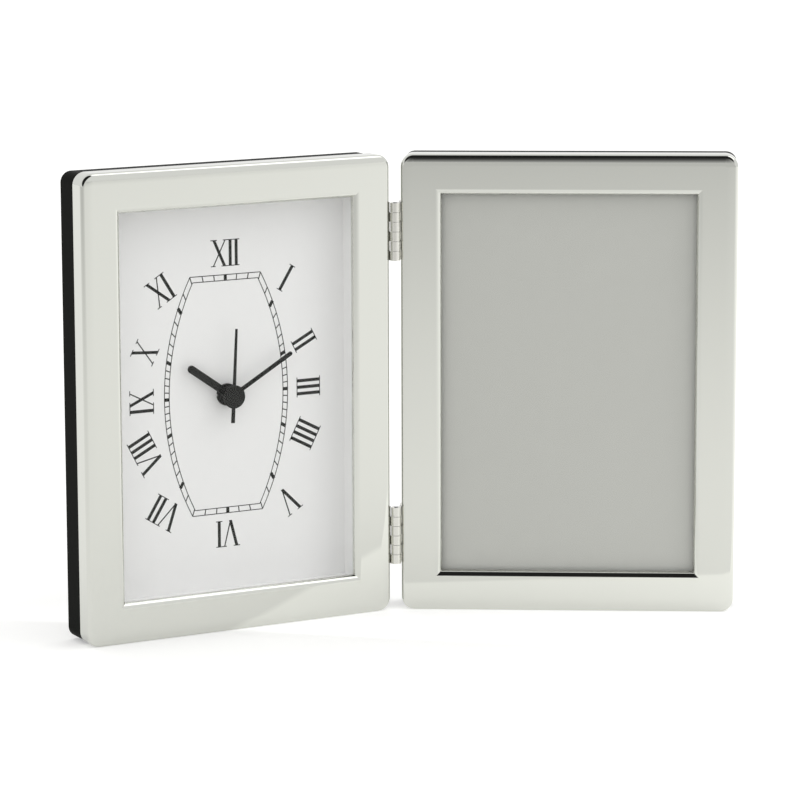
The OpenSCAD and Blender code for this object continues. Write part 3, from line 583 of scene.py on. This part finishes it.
# Finishes. Each has the two colours it wanders between, its roughness range, the size of
# its grain and the height of its relief in mm, and what else the shader is told.
finishes = {
    # plated steel buffed to a mirror; thin pressed sheet leaves faint long waves in it
    "pressed_silver": {
        "name": "polished_silver_plate",
        "colours": ("#cecfc9", "#d1d2cc"),
        "rough": (0.03, 0.05),
        "grain": 30,
        "relief": 0.004,
        "shader": {"Metallic": 1.0},
    },
    # ABS from a fine textured mould: near black, with a sheen only at a low angle
    "black_body": {
        "name": "moulded_black_abs",
        "colours": ("#111210", "#161714"),
        "rough": (0.38, 0.5),
        "grain": 0.5,
        "relief": 0.012,
        "shader": {"Specular IOR Level": 0.01},
    },
    # coated card with an even matt white print
    "white_card": {
        "name": "white_printed_card",
        "colours": ("#f6f6f5", "#f8f8f7"),
        "rough": (0.6, 0.7),
        "grain": 0.6,
        "relief": 0.006,
    },
    # stamped hands under a satin lacquer, soft glints along their edges
    "black_lacquer": {
        "name": "satin_black_lacquer",
        "colours": ("#141512", "#191a17"),
        "rough": (0.32, 0.4),
        "grain": 0.4,
        "relief": 0.003,
        "shader": {"Specular IOR Level": 0.15},
    },
    # nylon nut, a little duller than the hands
    "black_nut": {
        "name": "moulded_black_nylon",
        "colours": ("#151613", "#1a1b18"),
        "rough": (0.4, 0.5),
        "grain": 0.5,
        "relief": 0.01,
        "shader": {"Specular IOR Level": 0.15},
    },
    # movement case with a spark eroded grain that breaks up its gloss
    "movement_black": {
        "name": "fine_grained_black_abs",
        "colours": ("#161718", "#1e1f20"),
        "rough": (0.45, 0.6),
        "grain": 0.4,
        "relief": 0.03,
    },
    # acetal gears and knob, creamy and slippery
    "cream_gear": {
        "name": "moulded_cream_acetal",
        "colours": ("#dcd6c2", "#e6e1cf"),
        "rough": (0.25, 0.35),
        "grain": 0.8,
        "relief": 0.004,
    },
    # natural acetal, milky white
    "clear_gear": {
        "name": "moulded_white_acetal",
        "colours": ("#d9d8cf", "#e6e5dd"),
        "rough": (0.22, 0.32),
        "grain": 0.8,
        "relief": 0.004,
    },
    # cold rolled sheet, drawn out in one direction by the mill
    "plate_steel": {
        "name": "rolled_steel_sheet",
        "colours": ("#9a9b9e", "#acadb0"),
        "rough": (0.28, 0.4),
        "grain": 0.3,
        "relief": 0.004,
        "stretch": (1, 1, 12),
        "shader": {"Metallic": 1.0},
    },
    # soft iron sheet, dull grey from annealing
    "stator_iron": {
        "name": "annealed_iron_sheet",
        "colours": ("#85878b", "#979a9e"),
        "rough": (0.4, 0.5),
        "grain": 0.5,
        "relief": 0.006,
        "stretch": (12, 1, 1),
        "shader": {"Metallic": 1.0},
    },
    # turns of enamelled wire side by side, drawn coarser than real wire so that they show
    "copper_wire": {
        "name": "enamelled_copper_wire",
        "colours": ("#a4562c", "#c26e3c"),
        "rough": (0.25, 0.35),
        "grain": 0.2,
        "relief": 0.05,
        "turns": 0.25,
        "shader": {"Metallic": 1.0},
    },
    # solder mask over glass cloth, green and glossy
    "green_board": {
        "name": "green_solder_mask",
        "colours": ("#0d4a2b", "#146038"),
        "rough": (0.25, 0.35),
        "grain": 0.8,
        "relief": 0.01,
    },
    # drawn and tinned can
    "crystal_can": {
        "name": "drawn_crystal_can",
        "colours": ("#b8b9bb", "#c6c7c9"),
        "rough": (0.2, 0.3),
        "grain": 0.3,
        "relief": 0.003,
        "shader": {"Metallic": 1.0},
    },
    # shrunk plastic sleeve of a dry cell, with no print
    "cell_jacket": {
        "name": "plain_cell_jacket",
        "colours": ("#2b2f36", "#343942"),
        "rough": (0.25, 0.35),
        "grain": 1.0,
        "relief": 0.004,
    },
    # spring strip with a thin warm plating
    "contact_strip": {
        "name": "plated_spring_strip",
        "colours": ("#bfb98f", "#d0caa0"),
        "rough": (0.2, 0.3),
        "grain": 0.3,
        "relief": 0.003,
        "shader": {"Metallic": 1.0},
    },
    # printed insert card, smooth mid grey
    "insert_grey": {
        "name": "grey_printed_card",
        "colours": ("#c2c3bd", "#c5c6c0"),
        "rough": (0.5, 0.6),
        "grain": 0.5,
        "relief": 0.004,
    },
    # pulp board, fibrous and dusty
    "pad_board": {
        "name": "soft_pulp_board",
        "colours": ("#c9bfa6", "#d8cfb8"),
        "rough": (0.85, 0.95),
        "grain": 0.7,
        "relief": 0.08,
    },
    # board flocked with short fibres, which lighten its edges
    "back_velvet": {
        "name": "black_flocked_board",
        "colours": ("#0c0c0d", "#161618"),
        "rough": (0.9, 1.0),
        "grain": 0.25,
        "relief": 0.1,
        "shader": {"Sheen Weight": 0.25, "Sheen Roughness": 0.4},
    },
    # satin nickel over stamped brass
    "hinge_plate": {
        "name": "satin_nickel_plate",
        "colours": ("#d2d1cb", "#dad9d3"),
        "rough": (0.16, 0.24),
        "grain": 0.4,
        "relief": 0.004,
        "shader": {"Metallic": 1.0},
    },
    # drawn wire pin, bright at its cut ends
    "hinge_steel": {
        "name": "bright_steel_wire",
        "colours": ("#b4b5b6", "#c2c3c4"),
        "rough": (0.15, 0.25),
        "grain": 0.3,
        "relief": 0.003,
        "shader": {"Metallic": 1.0},
    },
    # zinc plated screws, slightly cloudy
    "screw_steel": {
        "name": "zinc_plated_steel",
        "colours": ("#b0b2b4", "#c0c2c5"),
        "rough": (0.25, 0.35),
        "grain": 0.5,
        "relief": 0.004,
        "shader": {"Metallic": 1.0},
    },
    # screen printed numerals and track, matt black
    "dial_ink": {
        "name": "black_dial_ink",
        "colours": ("#20221e", "#262824"),
        "rough": (0.45, 0.55),
        "grain": 0.3,
        "relief": 0.002,
        "shader": {"Specular IOR Level": 0.2},
    },
}

# How every finish uses its grain
grainUse = {
    "coarser": 6,  # how many fine grains go into the one that shifts the colour
    "detail": 3.0,
    "low": 0.3,  # nearly all of a noise texture lies between these two
    "high": 0.7,
}


def makeFinish(finish):
    # a coarse grain shifts the colour, a fine one the roughness and the relief
    material, tree = newMaterial(finish["name"])
    coords = addNode(tree, "ShaderNodeTexCoord").outputs["Object"]
    placed = addNode(
        tree,
        "ShaderNodeMapping",
        values={"Scale": finish.get("stretch", (1, 1, 1))},
        links={"Vector": coords},
    ).outputs[0]
    coarse = addNode(
        tree,
        "ShaderNodeTexNoise",
        values={
            "Scale": 1 / (grainUse["coarser"] * finish["grain"] * mm),
            "Detail": grainUse["detail"],
        },
        links={"Vector": placed},
    ).outputs[0]
    fine = addNode(
        tree,
        "ShaderNodeTexNoise",
        values={"Scale": 1 / (finish["grain"] * mm), "Detail": grainUse["detail"]},
        links={"Vector": placed},
    ).outputs[0]
    colour = addNode(
        tree,
        "ShaderNodeMix",
        {"data_type": "RGBA"},
        values={6: tone(finish["colours"][0]), 7: tone(finish["colours"][1])},
        links={0: coarse},
    ).outputs[2]
    rough = addNode(
        tree,
        "ShaderNodeMapRange",
        values={
            "From Min": grainUse["low"],
            "From Max": grainUse["high"],
            "To Min": finish["rough"][0],
            "To Max": finish["rough"][1],
        },
        links={"Value": fine},
    ).outputs[0]
    height = fine
    if "turns" in finish:
        # rounded wires side by side along the coil; a wave of scale s repeats each pi / 10 s
        height = addNode(
            tree,
            "ShaderNodeTexWave",
            {"bands_direction": "X"},
            values={"Scale": math.pi / (10 * finish["turns"] * mm), "Distortion": 0.0},
            links={"Vector": coords},
        ).outputs["Fac"]
    relief = addNode(
        tree,
        "ShaderNodeBump",
        values={"Strength": 1.0, "Distance": finish["relief"] * mm},
        links={"Height": height},
    ).outputs[0]
    shader = addNode(
        tree,
        "ShaderNodeBsdfPrincipled",
        values=finish.get("shader"),
        links={"Base Color": colour, "Roughness": rough, "Normal": relief},
    )
    addNode(tree, "ShaderNodeOutputMaterial", links={"Surface": shader.outputs[0]})
    return material


materials = {slot: makeFinish(finish) for slot, finish in finishes.items()}

# Float glass, coated against reflections, so its IOR is below plain glass's 1.5. Light and
# shade go straight through it, so that what lies behind stays plainly lit.
floatGlass = {"colour": "#ffffff", "ior": 1.2, "rough": 0.0, "clearWay": "#fefefe"}
glass, tree = newMaterial("float_glass")
pane = addNode(
    tree,
    "ShaderNodeBsdfPrincipled",
    values={
        "Base Color": tone(floatGlass["colour"]),
        "Roughness": floatGlass["rough"],
        "IOR": floatGlass["ior"],
        "Transmission Weight": 1.0,
    },
)
rays = addNode(tree, "ShaderNodeLightPath")
through = addNode(
    tree,
    "ShaderNodeMath",
    {"operation": "MAXIMUM"},
    links={0: rays.outputs["Is Shadow Ray"], 1: rays.outputs["Is Diffuse Ray"]},
)
clearWay = addNode(
    tree, "ShaderNodeBsdfTransparent", values={"Color": tone(floatGlass["clearWay"])}
)
mixed = addNode(
    tree,
    "ShaderNodeMixShader",
    links={0: through.outputs[0], 1: pane.outputs[0], 2: clearWay.outputs[0]},
)
addNode(tree, "ShaderNodeOutputMaterial", links={"Surface": mixed.outputs[0]})
materials["pane"] = glass

slotOf = {row["node"]: row["material_slot"] for row in frame["record"]["subparts"]}
for name, node in nodes.items():
    for slot in node.material_slots:
        slot.material = materials[slotOf[name]]
dressed = [
    ("pressed_silver", [clockShell, photoShell]),
    ("black_body", [clockBand, photoBand]),
    ("pane", [clockPane, photoPane]),
    ("dial_ink", [*numerals, minuteTrackPiece]),
]
for slot, pieces in dressed:
    for piece in pieces:
        piece.data.materials.clear()
        piece.data.materials.append(materials[slot])
print("materials made")

# Floor: a white sweep with painted shade that grows darker to the left, away from the lamp,
# and a painted pool of light in front of the picture panel. Camera, mirrors and glass see it
# lifted to white round the clock, painted shade and pool included.
studioFloor = {
    "size": 16,  # metres
    "colour": "#ebebe9",
    "lift": 0.36,
    "darkWay": (-0.876, -0.483, 0),  # direction in which the painted shade grows darker
    "paintedShadePerMetre": 0.24,
    "paintedShadeLightest": 0.94,
    "paintedShadeDarkest": 0.6,
    "paintedPoolWay": (0.653, 0.757, 0),  # painted pool of light, standing in for light thrown down by the picture panel's face
    "paintedPoolStart": -0.0285,
    "paintedPoolEdge": 0.002,  # half the width of its soft start
    "paintedPoolGain": 0.18,
    "paintedPoolBack": 0.05,  # the painted pool ends behind the panels
    "paintedPoolFade": 0.05,
    "rough": 0.9,
    "specular": 0.1,
}
startFresh()
bpy.ops.mesh.primitive_plane_add(size=studioFloor["size"], location=(0, 0, 0))
floor = bpy.context.object
floor.name = "studio_floor"
floorPaint, tree = newMaterial("pale_studio_floor")
coords = addNode(tree, "ShaderNodeTexCoord").outputs["Object"]
# painted shade: the floor's level falls off along darkWay
alongPaintedShade = addNode(
    tree,
    "ShaderNodeVectorMath",
    {"operation": "DOT_PRODUCT"},
    values={1: studioFloor["darkWay"]},
    links={0: coords},
).outputs["Value"]
# painted pool of light: a band of floor in front of the picture panel made lighter
alongPaintedPool = addNode(
    tree,
    "ShaderNodeVectorMath",
    {"operation": "DOT_PRODUCT"},
    values={1: studioFloor["paintedPoolWay"]},
    links={0: coords},
).outputs["Value"]
wayBack = addNode(tree, "ShaderNodeSeparateXYZ", links={0: coords}).outputs["Y"]
farthest = (studioFloor["paintedShadeLightest"] - studioFloor["paintedShadeDarkest"]) / studioFloor["paintedShadePerMetre"]
paintedShadeLevel = addNode(
    tree,
    "ShaderNodeMapRange",
    values={
        "From Min": 0.0,
        "From Max": farthest,
        "To Min": studioFloor["paintedShadeLightest"],
        "To Max": studioFloor["paintedShadeDarkest"],
    },
    links={"Value": alongPaintedShade},
).outputs[0]
paintedPoolEnd = addNode(
    tree,
    "ShaderNodeMapRange",
    values={
        "From Min": studioFloor["paintedPoolBack"],
        "From Max": studioFloor["paintedPoolBack"] + studioFloor["paintedPoolFade"],
        "To Min": 1.0 + studioFloor["paintedPoolGain"],
        "To Max": 1.0,
    },
    links={"Value": wayBack},
).outputs[0]
paintedPool = addNode(
    tree,
    "ShaderNodeMapRange",
    values={
        "From Min": studioFloor["paintedPoolStart"] - studioFloor["paintedPoolEdge"],
        "From Max": studioFloor["paintedPoolStart"] + studioFloor["paintedPoolEdge"],
        "To Min": 1.0,
    },
    links={"Value": alongPaintedPool, "To Max": paintedPoolEnd},
).outputs[0]
# painted shade times painted pool; it scales both the floor's colour and its lift to white
shade = addNode(
    tree, "ShaderNodeMath", {"operation": "MULTIPLY"}, links={0: paintedShadeLevel, 1: paintedPool}
).outputs[0]
lift = addNode(
    tree,
    "ShaderNodeMath",
    {"operation": "MULTIPLY"},
    values={1: studioFloor["lift"]},
    links={0: shade},
).outputs[0]
glow = addNode(
    tree, "ShaderNodeMath", {"operation": "MULTIPLY"}, links={0: seenRays(tree), 1: lift}
).outputs[0]
# the floor's colour with the painted shade and painted pool multiplied in
painted = addNode(
    tree,
    "ShaderNodeMix",
    {"data_type": "RGBA", "blend_type": "MULTIPLY"},
    values={0: 1.0, 6: tone(studioFloor["colour"])},
    links={7: shade},
).outputs[2]
sweep = addNode(
    tree,
    "ShaderNodeBsdfPrincipled",
    values={
        "Roughness": studioFloor["rough"],
        "Specular IOR Level": studioFloor["specular"],
        "Emission Color": (1, 1, 1, 1),
    },
    links={"Base Color": painted, "Emission Strength": glow},
)
addNode(tree, "ShaderNodeOutputMaterial", links={"Surface": sweep.outputs[0]})
floor.data.materials.append(floorPaint)

# World: white all round but for the dark side of the studio, high up behind the camera
studioWorld = {
    "light": 1.0,
    "seen": 1.0,
    "darkTurn": 235,  # degrees from the X axis
    "darkUp": 40,
    "darkHalf": 41,
    "darkSoft": 4,  # half the width of its soft edge
    "darkLevel": 0.02,
}
world = bpy.data.worlds.new("studio")
bpy.context.scene.world = world
world.use_nodes = True
tree = world.node_tree
tree.nodes.clear()
heading, raised = (math.radians(studioWorld[k]) for k in ("darkTurn", "darkUp"))
darkWay = (
    math.cos(raised) * math.cos(heading),
    math.cos(raised) * math.sin(heading),
    math.sin(raised),
)
darkHalf, darkSoft = (math.radians(studioWorld[k]) for k in ("darkHalf", "darkSoft"))
direction = addNode(tree, "ShaderNodeTexCoord").outputs["Generated"]
toDark = addNode(
    tree,
    "ShaderNodeVectorMath",
    {"operation": "DOT_PRODUCT"},
    values={1: darkWay},
    links={0: direction},
).outputs["Value"]
patch = addNode(
    tree,
    "ShaderNodeMapRange",
    values={
        "From Min": math.cos(darkHalf + darkSoft),
        "From Max": math.cos(darkHalf - darkSoft),
        "To Min": studioWorld["seen"],
        "To Max": studioWorld["darkLevel"],
    },
    links={"Value": toDark},
).outputs[0]
strength = addNode(
    tree,
    "ShaderNodeMix",
    {"data_type": "FLOAT"},
    values={2: studioWorld["light"]},
    links={0: seenRays(tree), 3: patch},
).outputs[0]
sky = addNode(
    tree,
    "ShaderNodeBackground",
    values={"Color": (1, 1, 1, 1)},
    links={"Strength": strength},
)
addNode(tree, "ShaderNodeOutputWorld", links={"Surface": sky.outputs[0]})

# Lamp: one large soft box high up at the front right, out of sight of the two faces
softBox = {"side": 1.2, "watts": 4.5, "place": (0.95, -0.65, 1.7), "aim": (0, 0, 0.1)}
lampData = bpy.data.lights.new("overhead_soft_box", "AREA")
lampData.shape = "SQUARE"
lampData.size = softBox["side"]
lampData.energy = softBox["watts"]
lamp = bpy.data.objects.new("overhead_soft_box", lampData)
bpy.context.scene.collection.objects.link(lamp)
lamp.location = softBox["place"]
aim = Vector(softBox["aim"]) - Vector(softBox["place"])
lamp.rotation_euler = aim.to_track_quat("-Z", "Y").to_euler()

bpy.context.scene.view_settings.view_transform = "Standard"

print("camera, floor and light set")
